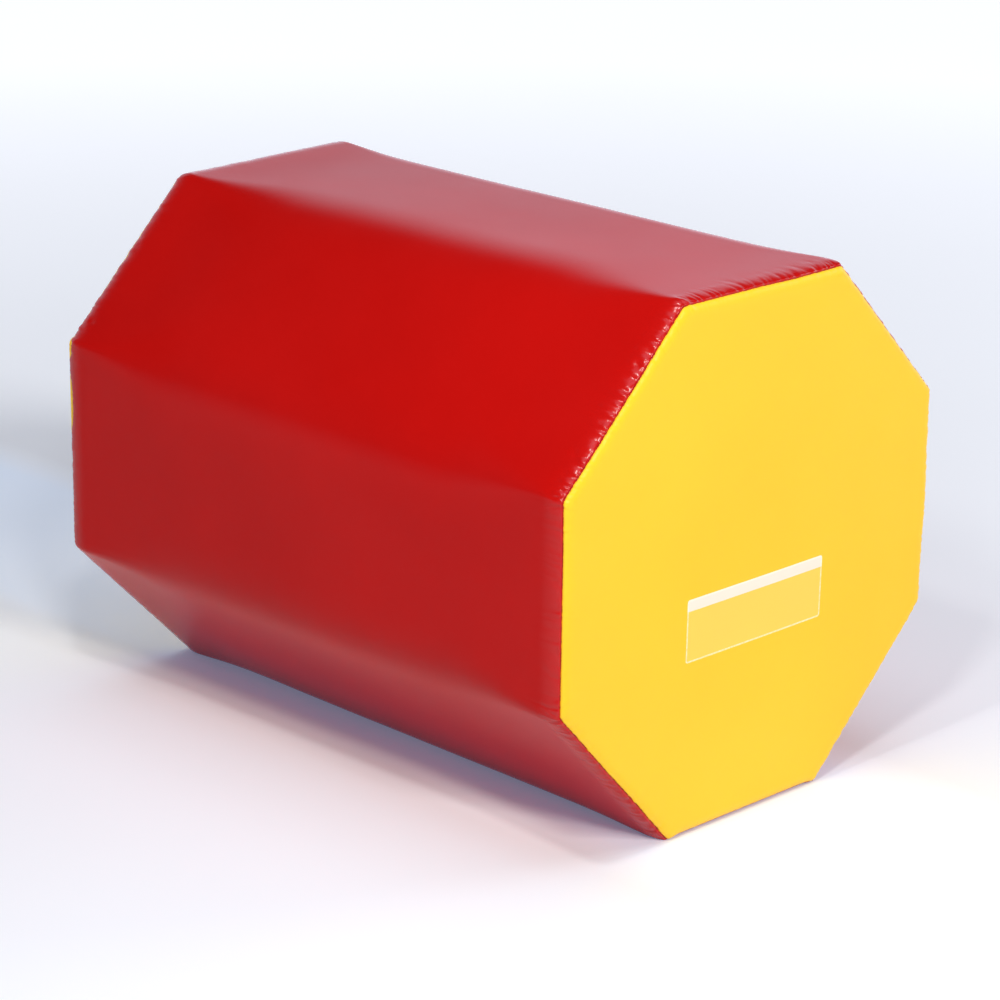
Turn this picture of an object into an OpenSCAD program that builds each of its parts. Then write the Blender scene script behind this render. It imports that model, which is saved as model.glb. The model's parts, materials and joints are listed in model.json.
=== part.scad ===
// Octagonal gymnastics tumbling barrel: a laminated foam core in a zipped vinyl cover.
// X runs along the barrel, +Z is up, and the origin is the middle of the flat side it rests on.
// Left and right are -X and +X, front and back are -Y and +Y. The zip is on the back side.

/* [Barrel] */
// Length over the two end panels
barrel_l = 1016; // [900:1:1200]
// Distance between two opposite flat sides
barrel_w = 762; // [640:1:900]
// Radius of the rounded long edges, outside
edge_r = 22; // [18:1:40]

/* [Foam core] */
// Thickness of the firm foam boards on the eight sides
board_t = 35; // [30:1:50]
// Number of glued slabs in the soft centre block
slab_count = 6; // [4:1:8]

/* [Cover] */
// Thickness of the vinyl sheet
vinyl_t = 0.6; // [0.5:0.1:0.8]
// Width of side sheet that shows as a rim round each end panel
rim_w = 1.2; // [1.2:0.1:3]
// Width of the seam allowance behind each end panel
allowance_w = 12; // [10:1:14]

/* [Zip] */
// Height of the zip above the floor
zip_z = 272; // [262:1:300]
// Length of the slot in the side sheet that the zip closes
zip_slot_l = 920; // [840:1:920]
// Height of that slot
zip_slot_h = 17; // [16:0.5:20]
// Height of each zip tape
tape_h = 19; // [16:1:20]
// Thickness of the zip chain
coil_t = 3; // [2.6:0.1:3]
// Length of the pull tab
pull_l = 38; // [30:1:40]

/* [Flap] */
// Height of the swinging part of the zip flap
flap_h = 54; // [52:1:58]
// How far the middle of the flap stands off its own chord
flap_bow = 7.9; // [7.8:0.1:9]
// Height of the sewn strip above the flap
flap_strip_h = 14; // [12:1:18]

/* [Hidden] */

// Gap left between soft layers that press on each other
layer_gap = 0.1;
thread_t = 0.6;
// How far a row of stitches stands off the sheet
stitch_h = 0.4;
// The cover's two sheets and their allowances, stacked behind the end face
seam_stack_t = 3 * vinyl_t;
allowance_inset = rim_w + allowance_w;
core_apothem = barrel_w / 2 - vinyl_t - layer_gap - board_t;
core_l = barrel_l - 2 * (vinyl_t + layer_gap);
slab_t = 2 * core_apothem / slab_count;
// Segments in each rounded long edge, even so that boards can meet half way
edge_steps = 6;

// Zip heights above the back face, going outwards; negative values lie under the vinyl
hem_y = -2 * vinyl_t;
tape_t = 0.7;
tape_y = hem_y - tape_t;
coil_top_y = hem_y + coil_t;
coil_w = 5;
coil_gap = 1;
// The chain stops short of each end of the slot, and the tapes run on past it
coil_l = zip_slot_l - 2 * 20;
tape_l = zip_slot_l + 2 * 20;
stop_l = 3;
stop_top_y = coil_top_y + 0.4;
hem_h = 12;
// Two beds in the back board: one for the tapes, and a deeper one for the slider's under plate
relief_l = tape_l + 2 * 5;
relief_h = 2 * (tape_h + 2);
relief_deep_l = coil_l + 2 * 6;
relief_deep_h = 20;
relief_deep_y = -6;
// Distance of each stitch row from the slot's edge
stitch_rows = [3, 9];

slider_l = 22;
slider_w = 14.5;
slider_plate_t = 1.6;
slider_run_gap = 0.3;
slider_top_y = coil_top_y + slider_run_gap;
slider_web_w = 0.6;
// How far the web and the bail run into the plates
slider_root = 0.4;
slider_rest_x = coil_l / 2 - slider_l / 2 - 0.5;
bail_w = 3.6;
bail_h = 2.3;
bail_t = 1.1;
bail_post_l = 1.3;
bail_l = 10;
pull_t = 1.8;
pull_w = 9.6;
pull_corner = 3;
pull_axis_y = slider_top_y + slider_plate_t + bail_h / 2;
pull_window_l = 6.6;
pull_window_w = bail_w + 0.8;
tab_l = 30;
tab_h = 46;

flap_t = 2 * vinyl_t;
flap_hinge_z = zip_z + flap_h / 2 + 1;
flap_axis_y = flap_t / 2 + 0.05;
flap_left_x = -zip_slot_l / 2 - 10;
// At this end the flap leaves the pull free
flap_right_x = slider_rest_x - pull_l - 6;
// The bare fold between the sewn strip and the swinging flap
flap_fold_h = 2.5;
flap_steps = 16;

red_vinyl = "#c8140f";
yellow_vinyl = "#ffd83a";
soft_foam = "#efe9d2";
firm_foam = "#f4f4f0";
zip_black = "#1c1c1e";
thread_red = "#a81410";
slider_metal = "#8d9094";

// ---- outlines across the barrel, as [y, z] ----

// Corner k of the octagon outline that lies inset inside the cover, as an arc from one side to the next
function edge_arc(k, inset, from = 0, to = edge_steps) =
    let (
        r = max(edge_r - inset, 0.5),
        reach = (barrel_w / 2 - inset - r) / cos(22.5),
        at = 22.5 + 45 * k
    )
    [for (i = [from:to])
        let (a = at - 22.5 + 45 * i / edge_steps)
        [reach * cos(at) + r * cos(a), barrel_w / 2 + reach * sin(at) + r * sin(a)]];

module rounded_octagon(inset) {
    polygon([for (k = [0:7]) each edge_arc(k, inset)]);
}

// A point on the mitre line at angle, where the octagon has this apothem
function mitre_point(angle, apothem) =
    let (reach = apothem / cos(22.5))
    [reach * cos(angle), barrel_w / 2 + reach * sin(angle)];

module along_x(x0, x1) {
    translate([x0, 0, 0]) rotate([90, 0, 90]) linear_extrude(x1 - x0) children();
}

module block(x0, x1, y0, y1, z0, z1) {
    translate([x0, y0, z0]) cube([x1 - x0, y1 - y0, z1 - z0]);
}

// Origin on the back face, at the middle of the zip
module on_zip() {
    translate([0, barrel_w / 2, zip_z]) children();
}

// ---- foam core ----

module core_slab(i) {
    z0 = barrel_w / 2 - core_apothem + i * slab_t;
    color(soft_foam)
    along_x(-core_l / 2, core_l / 2)
    intersection() {
        polygon([for (k = [0:7]) mitre_point(22.5 + 45 * k, core_apothem)]);
        translate([-core_apothem, z0]) square([2 * core_apothem, slab_t]);
    }
}

// One firm board, mitred at both edges; side 0 faces the back and side 2 the top
module board_outline(side, outer_inset) {
    middle = 45 * side;
    polygon(concat(
        [mitre_point(middle - 22.5, core_apothem)],
        edge_arc(side - 1, outer_inset, edge_steps / 2, edge_steps),
        edge_arc(side, outer_inset, 0, edge_steps / 2),
        [mitre_point(middle + 22.5, core_apothem)]
    ));
}

module board(side) {
    skin_inset = vinyl_t + layer_gap;
    short_l = barrel_l - 2 * (seam_stack_t + thread_t + 2 * layer_gap);
    color(firm_foam)
    union() {
        along_x(-short_l / 2, short_l / 2) board_outline(side, skin_inset);
        along_x(-core_l / 2, core_l / 2) board_outline(side, allowance_inset + layer_gap);
    }
}

// The back board has a shallow bed for the zip tapes and a deeper one for the slider's under plate
module board_back() {
    color(firm_foam)
    difference() {
        board(0);
        on_zip() {
            block(-relief_l / 2, relief_l / 2, tape_y - layer_gap, 1, -relief_h / 2, relief_h / 2);
            block(-relief_deep_l / 2, relief_deep_l / 2, relief_deep_y, 1, -relief_deep_h / 2, relief_deep_h / 2);
        }
    }
}

// ---- sewn vinyl cover ----

// A band of sheet lying across the barrel, from one inset to a deeper one
module cross_band(x0, x1, inset0, inset1) {
    along_x(x0, x1)
    difference() {
        rounded_octagon(inset0);
        rounded_octagon(inset1);
    }
}

module wrap_end() {
    x = barrel_l / 2;
    cross_band(x - vinyl_t, x, 0, rim_w);
    cross_band(x - seam_stack_t, x, rim_w - vinyl_t, rim_w);
    cross_band(x - seam_stack_t, x - 2 * vinyl_t, rim_w - vinyl_t, allowance_inset);
}

module side_wrap() {
    color(red_vinyl)
    difference() {
        union() {
            cross_band(-barrel_l / 2, barrel_l / 2, 0, vinyl_t);
            wrap_end();
            mirror([1, 0, 0]) wrap_end();
            on_zip() for (s = [-1, 1])
                block(-zip_slot_l / 2, zip_slot_l / 2, hem_y, -vinyl_t,
                    s > 0 ? zip_slot_h / 2 : -zip_slot_h / 2 - hem_h,
                    s > 0 ? zip_slot_h / 2 + hem_h : -zip_slot_h / 2);
        }
        on_zip() block(-zip_slot_l / 2, zip_slot_l / 2, -vinyl_t - 0.01, 1, -zip_slot_h / 2, zip_slot_h / 2);
    }
}

// The end sheet with its own allowance folded flat behind it
module end_panel() {
    x = barrel_l / 2;
    color(yellow_vinyl)
    union() {
        along_x(x - vinyl_t, x) rounded_octagon(rim_w + layer_gap);
        cross_band(x - 2 * vinyl_t, x - vinyl_t, rim_w + layer_gap, allowance_inset);
    }
}

// The line of lockstitch that joins an end panel to the side sheet, on the foam side of the seam
module seam_thread() {
    x = barrel_l / 2 - seam_stack_t;
    color(thread_red)
    cross_band(x - thread_t, x, rim_w + 1, rim_w + 1 + thread_t);
}

// ---- zip ----

module zip_tape() {
    color(zip_black)
    block(-tape_l / 2, tape_l / 2, tape_y, hem_y, coil_gap / 2, tape_h);
}

module zip_coil() {
    chamfer = 0.8;
    color(zip_black)
    along_x(-coil_l / 2, coil_l / 2)
    polygon([
        [hem_y, coil_gap / 2],
        [hem_y, coil_w],
        [coil_top_y - chamfer, coil_w],
        [coil_top_y, coil_w - chamfer],
        [coil_top_y, coil_gap / 2]
    ]);
}

// A pair of metal clips above the last loops of the chain
module zip_closed_stops() {
    x = coil_l / 2;
    color(slider_metal)
    for (s = [0, 1]) mirror([0, 0, s])
        block(x, x + stop_l, hem_y, stop_top_y, coil_gap / 2, coil_w);
}

module zip_open_stop() {
    x = -coil_l / 2;
    color(slider_metal) block(x - 2 * stop_l, x, hem_y, stop_top_y, -coil_w, coil_w);
}

// A piece of vinyl sewn over each end of the slot
module zip_end_tab() {
    x = zip_slot_l / 2;
    color(red_vinyl) block(x - tab_l / 3, x + tab_l * 2 / 3, 0, vinyl_t, -tab_h / 2, tab_h / 2);
}

module zip_topstitching() {
    row_l = zip_slot_l - tab_l;
    color(thread_red)
    for (row = stitch_rows, s = [-1, 1]) {
        z = s * (zip_slot_h / 2 + row);
        block(-row_l / 2, row_l / 2, 0, stitch_h, z - thread_t / 2, z + thread_t / 2);
    }
}

// ---- slider and pull, with x = 0 at the middle of the slider ----

// The upper half of a plate's outline, from its narrow tail to the throat
function slider_outline() =
    let (l = slider_l / 2, w = slider_w / 2)
    [[-l, w - 2], [-l + 2, w - 1.4], [1, w - 1], [5, w], [l - 3, w], [l, w - 3]];

module slider_plate(y0, y1) {
    half = slider_outline();
    other_half = [for (i = [len(half) - 1:-1:0]) [half[i][0], -half[i][1]]];
    translate([0, y1, 0]) rotate([90, 0, 0]) linear_extrude(y1 - y0) polygon(concat(half, other_half));
}

// The bridge that the pull hangs on
module slider_bail() {
    y = slider_top_y + slider_plate_t;
    difference() {
        block(-bail_l / 2, bail_l / 2, y - slider_root, y + bail_h + bail_t, -bail_w / 2, bail_w / 2);
        block(-bail_l / 2 + bail_post_l, bail_l / 2 - bail_post_l, y, y + bail_h, -bail_w, bail_w);
    }
}

module zip_slider() {
    under_y = tape_y - slider_run_gap - slider_plate_t;
    color(slider_metal)
    union() {
        slider_plate(slider_top_y, slider_top_y + slider_plate_t);
        slider_plate(under_y, under_y + slider_plate_t);
        block(4, slider_l / 2 - 1, under_y + slider_root, slider_top_y + slider_root,
            -slider_web_w / 2, slider_web_w / 2);
        slider_bail();
    }
}

// Lies towards -X, over the chain; its cross-bar turns inside the bail
module zip_pull() {
    bar_l = pull_window_w + 2 * pull_t;
    shoulder_x = pull_window_l + 3;
    color(slider_metal)
    translate([0, pull_axis_y, 0])
    mirror([1, 0, 0])
    union() {
        cylinder(h = bar_l, r = pull_t / 2, center = true, $fn = 32);
        difference() {
            rotate([90, 0, 0]) linear_extrude(pull_t, center = true)
            polygon([
                [0, -bar_l / 2], [shoulder_x, -pull_w / 2],
                [pull_l - pull_corner, -pull_w / 2], [pull_l, -pull_w / 2 + pull_corner],
                [pull_l, pull_w / 2 - pull_corner], [pull_l - pull_corner, pull_w / 2],
                [shoulder_x, pull_w / 2], [0, bar_l / 2]
            ]);
            block(-1, pull_window_l, -pull_t, pull_t, -pull_window_w / 2, pull_window_w / 2);
        }
        cylinder(h = pull_window_w + 1, r = pull_t / 2, center = true, $fn = 32);
    }
}

// ---- flap over the zip ----

// Where the flap's middle line is, at share t of the way from the fold to its free edge, and its outward normal
function flap_radius() = (flap_h * flap_h / 4 + flap_bow * flap_bow) / (2 * flap_bow);
function flap_point(t, off) =
    let (
        r = flap_radius(),
        half_angle = asin(flap_h / 2 / r),
        a = half_angle * (1 - 2 * t)
    )
    [
        barrel_w / 2 + flap_axis_y + flap_bow - r + (r + off) * cos(a),
        flap_hinge_z - flap_h / 2 + (r + off) * sin(a)
    ];

module zip_flap() {
    color(red_vinyl)
    union() {
        along_x(flap_left_x, flap_right_x)
        polygon(concat(
            [for (i = [0:flap_steps]) flap_point(i / flap_steps, flap_t / 2)],
            [for (i = [flap_steps:-1:0]) flap_point(i / flap_steps, -flap_t / 2)]
        ));
        translate([flap_left_x, barrel_w / 2 + flap_axis_y, flap_hinge_z])
        rotate([0, 90, 0]) cylinder(h = flap_right_x - flap_left_x, r = flap_t / 2, $fn = 24);
    }
}

module flap_sewn_strip() {
    z = flap_hinge_z + flap_fold_h;
    y = barrel_w / 2;
    color(red_vinyl) block(flap_left_x, flap_right_x, y, y + flap_t, z, z + flap_strip_h);
}

module flap_topstitching() {
    y = barrel_w / 2 + flap_t;
    color(thread_red)
    for (row = [1 / 4, 3 / 4]) {
        z = flap_hinge_z + flap_fold_h + row * flap_strip_h;
        block(flap_left_x + 4, flap_right_x - 4, y, y + stitch_h, z - thread_t / 2, z + thread_t / 2);
    }
}

// ---- nodes ----

for (i = [0:slab_count - 1])
    core_slab(i);
board_back();
board(1);  // board_back_upper
board(2);  // board_top
board(3);  // board_front_upper
board(4);  // board_front
board(5);  // board_front_lower
board(6);  // board_bottom
board(7);  // board_back_lower
side_wrap();
end_panel();  // end_panel_right
mirror([1, 0, 0]) end_panel();  // end_panel_left
seam_thread();  // seam_thread_right
mirror([1, 0, 0]) seam_thread();  // seam_thread_left
on_zip() zip_tape();  // zip_tape_upper
on_zip() mirror([0, 0, 1]) zip_tape();  // zip_tape_lower
on_zip() zip_coil();  // zip_coil_upper
on_zip() mirror([0, 0, 1]) zip_coil();  // zip_coil_lower
on_zip() zip_closed_stops();
on_zip() zip_open_stop();
on_zip() zip_end_tab();  // zip_end_tab_right
on_zip() mirror([1, 0, 0]) zip_end_tab();  // zip_end_tab_left
on_zip() zip_topstitching();
flap_sewn_strip();
flap_topstitching();
zip_flap();
on_zip() translate([slider_rest_x, 0, 0]) zip_slider();
on_zip() translate([slider_rest_x, 0, 0]) zip_pull();
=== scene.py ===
"""Looks of an octagonal tumbling barrel: a glossy vinyl cover sewn round a foam core.

X runs along the barrel, +Z is up, and the zip is on the +Y side, as in the frame.
Lengths are in metres; a value written with * MM is in millimetres.
"""

import json
import math

import bmesh
import bpy
import numpy as np
from mathutils import Matrix, Vector


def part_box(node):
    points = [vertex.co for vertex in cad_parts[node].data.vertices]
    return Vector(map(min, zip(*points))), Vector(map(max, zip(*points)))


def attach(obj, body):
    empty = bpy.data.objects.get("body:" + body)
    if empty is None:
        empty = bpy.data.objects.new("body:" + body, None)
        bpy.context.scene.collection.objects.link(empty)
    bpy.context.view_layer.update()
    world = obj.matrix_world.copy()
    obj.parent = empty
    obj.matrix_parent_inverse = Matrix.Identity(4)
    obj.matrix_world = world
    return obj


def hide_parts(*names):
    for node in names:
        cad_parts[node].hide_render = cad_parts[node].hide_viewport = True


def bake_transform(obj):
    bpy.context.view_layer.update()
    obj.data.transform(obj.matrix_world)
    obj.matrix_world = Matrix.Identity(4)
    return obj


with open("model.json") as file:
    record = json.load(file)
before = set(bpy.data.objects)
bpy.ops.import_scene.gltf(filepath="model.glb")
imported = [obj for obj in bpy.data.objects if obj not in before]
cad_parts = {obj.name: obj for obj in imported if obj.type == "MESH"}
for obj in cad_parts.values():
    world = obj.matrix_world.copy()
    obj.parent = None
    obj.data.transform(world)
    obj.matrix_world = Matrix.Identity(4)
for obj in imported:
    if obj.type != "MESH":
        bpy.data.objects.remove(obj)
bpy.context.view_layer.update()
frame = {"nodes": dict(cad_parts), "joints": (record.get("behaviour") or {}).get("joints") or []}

MM = 0.001
MATERIALS = {}

# ---- sizes that come from the frame ----

WRAP_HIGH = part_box("side_wrap")[1]
HALF_L = WRAP_HIGH.x
APOTHEM = WRAP_HIGH.z / 2
AXIS_Z = APOTHEM
BACK_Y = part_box("zip_end_tab_right")[0].y
TAPE_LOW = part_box("zip_tape_lower")[0]
TAPE_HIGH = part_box("zip_tape_upper")[1]
ZIP_Z = (TAPE_LOW.z + TAPE_HIGH.z) / 2
CORE_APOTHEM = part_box("core_slab_6")[1].z - AXIS_Z

# The slot in the side sheet that the zip closes, from its middle
SLOT_HALF_H = 8.5 * MM
SLOT_HALF_L = 460 * MM

# ---- the cover's shape ----

SIDES = 8
SIDE_NAMES = ("back", "back_upper", "top", "front_upper", "front", "front_lower", "bottom", "back_lower")
BACK, FRONT_UPPER, FRONT, BOTTOM = 0, 3, 4, 6
HALF_SIDE_ANGLE = math.pi / SIDES
COLUMNS_PER_SIDE = 144
# Columns crowd towards the corners by this share
CORNER_CROWDING = 0.35
# How far a long edge's rounding reaches on to each side, in the middle and where it meets an end panel
EDGE_REACH_MIDDLE = 66 * MM
EDGE_REACH_SEAM = 8 * MM
EDGE_REACH_LENGTH = 240 * MM
# Some edges of the foam are rounder than others, from the back upper edge round over the top
EDGE_ROUNDNESS = (0.6, 0.5, 1.4, 1.7, 1.3, 0.5, 0.5, 0.45)
# 2 would make each edge a round arc; more makes it turn faster near its middle line
EDGE_POWER = 2.8
# The sheet stands a little proud where the end panels stiffen it
FLARE = 2.8 * MM
FLARE_LENGTH = 80 * MM
# The rounding from a side to an end: a tight turn inside a wide, gentle one
TIGHT_TURN = 14 * MM
WIDE_TURN_SIDE = 38 * MM
WIDE_TURN_END = 22 * MM
TIGHT_SHARE = 0.6
END_PROUD = 3.5 * MM
# Where the seam lies on that rounding, counted from its middle
SEAM_AT = -3.5 * MM
SEAM_WANDER = 0.8 * MM
# Each corner's offset from a true octagon, (y, z) in mm, from the back upper corner over the top
RIGHT_CORNERS = ((-4, 5), (6, 0), (-3, 0), (0, 1), (2, 13), (1, -3), (-2, -3), (0, -2))
LEFT_CORNERS = ((0, 0), (-1, 1), (-5, -2), (1, 0), (3, 0), (3, 0), (0, 0), (0, 0))
# How hard the thread gathers the side sheet, side by side, and how much of that the far end has
GATHER_BY_SIDE = (0.5, 0.35, 0.3, 1.0, 0.45, 0.6, 0.15, 0.6)
FAR_END_GATHER = 0.35
GATHER_PITCH = 17 * MM
GATHER_DEPTH = 5.5 * MM
GATHER_REACH = 24 * MM
SHORT_GATHER_REACH = 8 * MM
DIMPLE_COUNT = 300
DIMPLE_DEPTH = 1.8 * MM
GROOVE_DEPTH = 1.8 * MM
# Distance from the zip within which the sheet is flat, and beyond which it is free
ZIP_FLAT = (50 * MM, 85 * MM)
# Share of the way from the middle of the bottom side to its corners where the floor lets the sheet go
FLOOR_FREE = (0.86, 1.0)
SEAM_ALLOWANCE = 10 * MM

# ---- stage ----

# The floor: its size, its glow near by and far off, its extra glow under the barrel, and the colour of each
# glow. The glow under the barrel is painted light that lightens the shade beneath it
FLOOR_REACH = 30
FLOOR_GLOW = (0.05, 0.47)
FLOOR_GLOW_AT = (1.2, 5.0)
FLOOR_GLOW_UNDER = 0.14
FLOOR_UNDER_AT = (0.20, 0.30)
FLOOR_GLOW_COLOUR, FLOOR_GLOW_COLOUR_UNDER = (0.98, 0.99, 1.02), (0.42, 0.65, 1.0)
# World brightness by the sine of the elevation: the wall near the horizon, a low haze, the panel overhead
# and the ceiling. BEHIND points at the brightest part of the wall.
WORLD_COLOUR = (0.90, 0.96, 1.14)
BEHIND = (-0.70, 0.71)
WALL_DIM, WALL_BRIGHT = 0.12, 0.95
BAND_FADE = (0.33, 0.68)
HAZE, HAZE_FADE = 0.5, (0.06, 0.20)
PANEL_EDGE = (0.86, 0.96)
PANEL_BRIGHT = 1.5
CEILING = 0.03
# Each area light: where it is, what it aims at, its size and its power in watts
AREA_LIGHTS = {
    "near_light": ((1.25, -1.4, 1.9), (0.5, -0.2, 0.6), (0.25, 0.25), 16),
    "high_light": ((0.55, -1.15, 2.1), (0.5, -0.2, 0.6), (0.16, 0.16), 9),
    "rear_light": ((1.7, 2.9, 1.7), (0, 0.2, 0.35), (1.4, 1.2), 24),
}
# The softbox: the way to it, how wide it looks in degrees, and its strength
SOFTBOX = ((0.85, -0.20, 0.50), 10, 1.35)


def smoothstep(x, low, high):
    t = np.clip((np.asarray(x, float) - low) / (high - low), 0, 1)
    return t * t * (3 - 2 * t)


def running_integral(y, x):
    steps = (y[1:] + y[:-1]) / 2 * np.diff(x)
    return np.concatenate([[0], np.cumsum(steps)])


def ring_noise(u, length, pitch, seed):
    """Smooth noise in -1..1 along a closed line of this length, with a knot every pitch."""
    count = max(4, int(round(length / pitch)))
    knots = np.random.RandomState(seed).uniform(-1, 1, count)
    at = np.mod(u / length, 1) * count
    i = np.floor(at).astype(int)
    f = at - i
    f = f * f * (3 - 2 * f)
    return knots[i % count] * (1 - f) + knots[(i + 1) % count] * f


def sheet_noise(u, v, length, pitch_u, pitch_v, seed):
    """Smooth noise in -1..1 over a sheet that is closed along u."""
    count = max(4, int(round(length / pitch_u)))
    rows = 64
    knots = np.random.RandomState(seed).uniform(-1, 1, (rows, count))
    a = np.mod(u / length, 1) * count
    b = np.mod(v / pitch_v, rows)
    i, j = np.floor(a).astype(int), np.floor(b).astype(int)
    f, g = a - i, b - j
    f, g = f * f * (3 - 2 * f), g * g * (3 - 2 * g)
    i0, i1, j0, j1 = i % count, (i + 1) % count, j % rows, (j + 1) % rows
    low = knots[j0, i0] * (1 - f) + knots[j0, i1] * f
    high = knots[j1, i0] * (1 - f) + knots[j1, i1] * f
    return low * (1 - g) + high * g


class EndTurn:
    """The way over the rounding from a side on to an end, by the distance along the sheet."""

    def __init__(self):
        self.at = np.linspace(-WIDE_TURN_SIDE, WIDE_TURN_END, 600)
        tight = smoothstep(self.at, -TIGHT_TURN, TIGHT_TURN)
        wide = smoothstep(self.at, -WIDE_TURN_SIDE, WIDE_TURN_END)
        turn = math.pi / 2 * (TIGHT_SHARE * tight + (1 - TIGHT_SHARE) * wide)
        self.run = running_integral(np.cos(turn), self.at)
        self.run -= self.run[-1]
        self.drop = running_integral(np.sin(turn), self.at)

    def x(self, s):
        """Distance along X from the end plane: negative on the side."""
        before = np.minimum(s + WIDE_TURN_SIDE, 0)
        return np.interp(s, self.at, self.run) + before

    def inset(self, s):
        """Distance in from the side's plane."""
        beyond = np.maximum(s - WIDE_TURN_END, 0)
        return np.interp(s, self.at, self.drop) + beyond

    def s_at_x(self, x):
        return np.where(x < self.run[0], x - self.run[0] - WIDE_TURN_SIDE, np.interp(x, self.run, self.at))


TURN = EndTurn()
SIDE_LENGTH = 2 * APOTHEM * math.tan(HALF_SIDE_ANGLE)
ROUND_LENGTH = SIDES * SIDE_LENGTH


def crowded(v):
    """Places along a side, -1..1, moved towards its corners."""
    return v + CORNER_CROWDING * np.sin(math.pi * v) / math.pi


def columns(snap=()):
    """Side number and place along it (-1..1) of each column. snap moves back side columns to given places."""
    count = COLUMNS_PER_SIDE
    side = np.repeat(np.arange(SIDES), count)
    t = np.tile(crowded(np.arange(count) * 2 / count - 1), SIDES)
    for place in snap:
        t[np.argmin(np.abs(t[:count] - place))] = place
    return side, t


def place_round(side, t):
    """Distance round the octagon, from the back side's lower corner."""
    return (side + (1 + t) / 2) * SIDE_LENGTH


def clear_of_floor(side, t):
    """0 where the sheet lies on the floor, 1 elsewhere."""
    return np.where(side == BOTTOM, smoothstep(np.abs(t), *FLOOR_FREE), 1.0)


def corner_shift(side, t, x):
    """How far the cover strays from a true octagon at these places, as (y, z)."""
    share = (1 + t) / 2
    # The back side keeps flat as far as the zip
    share = np.where(side == BACK, smoothstep(share, 0.3, 1.0), share)
    right = smoothstep(x, -HALF_L, HALF_L)[..., None]
    shift = 0
    for corners, weight in ((RIGHT_CORNERS, right), (LEFT_CORNERS, 1 - right)):
        c = np.array(corners, float) * MM
        along = c[side - 1] * (1 - share)[:, None] + c[side] * share[:, None]
        shift = shift + weight * along
    return shift


def calm(side, t):
    """0 where the sheet must stay flat: on the floor and round the zip. 1 elsewhere."""
    zip_at = SIDE_LENGTH / 2 + ZIP_Z - AXIS_Z
    u = place_round(side, t)
    away = np.abs((u - zip_at + ROUND_LENGTH / 2) % ROUND_LENGTH - ROUND_LENGTH / 2)
    return smoothstep(away, *ZIP_FLAT) * clear_of_floor(side, t)


def octagon(side, t, apothem, reach):
    """Points (y, z) on octagons whose corners are eased over this reach. Both may vary with the row."""
    face = side * 2 * HALF_SIDE_ANGLE
    tan = math.tan(HALF_SIDE_ANGLE)
    half = apothem * tan
    reach = np.minimum(reach, half)
    along = t * half
    past = np.clip((np.abs(along) - (half - reach)) / np.maximum(reach, 1e-9), 0, 1)
    # The slope grows on the way into the corner, where it is just half the turn from one side to the next
    slope = tan / (1 + tan ** 2 * (EDGE_POWER + 1) / EDGE_POWER)
    out = apothem - slope * reach * past ** EDGE_POWER / EDGE_POWER
    # Points slide so that both sides meet on the corner's own line
    flat = np.sign(t) * (np.abs(along) - past * (apothem - out) * tan)
    y = out * np.cos(face) - flat * np.sin(face)
    z = out * np.sin(face) + flat * np.cos(face) + AXIS_Z
    return y, z


def cover_points(side, t, s, end):
    """Points of the cover before it is gathered. s is the distance past an end's rounding, end +1 or -1."""
    x = HALF_L + END_PROUD + TURN.x(s)
    from_end = np.clip(HALF_L - x, 0, None)
    flare = FLARE * np.exp(-(from_end / FLARE_LENGTH) ** 2) * calm(side, t)
    apothem = APOTHEM + flare - TURN.inset(s)
    inwards = smoothstep(from_end, 0, EDGE_REACH_LENGTH)
    reach = EDGE_REACH_SEAM + (EDGE_REACH_MIDDLE - EDGE_REACH_SEAM) * inwards
    reach = reach * np.clip(apothem / (APOTHEM - TURN.inset(SEAM_AT)), 0, 1)
    roundness = np.array(EDGE_ROUNDNESS)
    roundness = np.where(t > 0, roundness[side], roundness[side - 1])
    reach = reach * (1 + (roundness - 1) * inwards)
    y, z = octagon(side, t, apothem, reach)
    shift = corner_shift(side, t, end * x) * np.clip(apothem / APOTHEM, 0, 1)[..., None]
    # The floor stops the sheet
    z = np.maximum(z + shift[..., 1], 0)
    return np.stack([end * x, y + shift[..., 0], z], -1)


def normals_of(points, closed=True):
    """Outward unit normals of a grid of points, rows along the barrel and columns round it."""
    along = np.gradient(points, axis=0)
    if closed:
        round_ = np.roll(points, -1, 1) - np.roll(points, 1, 1)
    else:
        round_ = np.gradient(points, axis=1)
    n = np.cross(round_, along)
    return n / np.maximum(np.linalg.norm(n, axis=-1, keepdims=True), 1e-12)


def facing_out(points, normals):
    """The same normals, turned round where they point into the barrel."""
    outward = points - np.array([0, 0, AXIS_Z])
    return normals * np.sign((normals * outward).sum(-1))[..., None]


# ---- meshes ----


def new_object(name, data):
    obj = bpy.data.objects.new(name, data)
    bpy.context.scene.collection.objects.link(obj)
    return obj


def add_object(name, points, faces, material, smooth=True):
    mesh = bpy.data.meshes.new(name)
    mesh.from_pydata([tuple(p) for p in points], [], faces)
    mesh.update()
    mesh.validate()
    mesh.polygons.foreach_set("use_smooth", [smooth] * len(mesh.polygons))
    obj = new_object(name, mesh)
    obj.data.materials.append(material)
    return obj


def add_piece(name, points, faces, material, body, replaced, smooth=True):
    obj = add_object(name, points, faces, material, smooth)
    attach(obj, body)
    if replaced:
        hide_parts(*replaced)
    return obj


def grid_faces(rows, cols, closed=False, skip=None):
    """Quads of a grid whose points are stored row by row, facing the way that normals_of points."""
    faces = []
    for r in range(rows - 1):
        for c in range(cols if closed else cols - 1):
            if skip is not None and skip[r, c]:
                continue
            d = (c + 1) % cols
            a = r * cols
            faces.append((a + c, a + d, a + cols + d, a + cols + c))
    return faces


def join_meshes(parts):
    """One list of points and one of faces from several (points, faces)."""
    points, faces, count = [], [], 0
    for p, f in parts:
        points.append(np.asarray(p, float).reshape(-1, 3))
        faces.extend(tuple(i + count for i in face) for face in f)
        count += len(points[-1])
    return np.concatenate(points), faces


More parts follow.
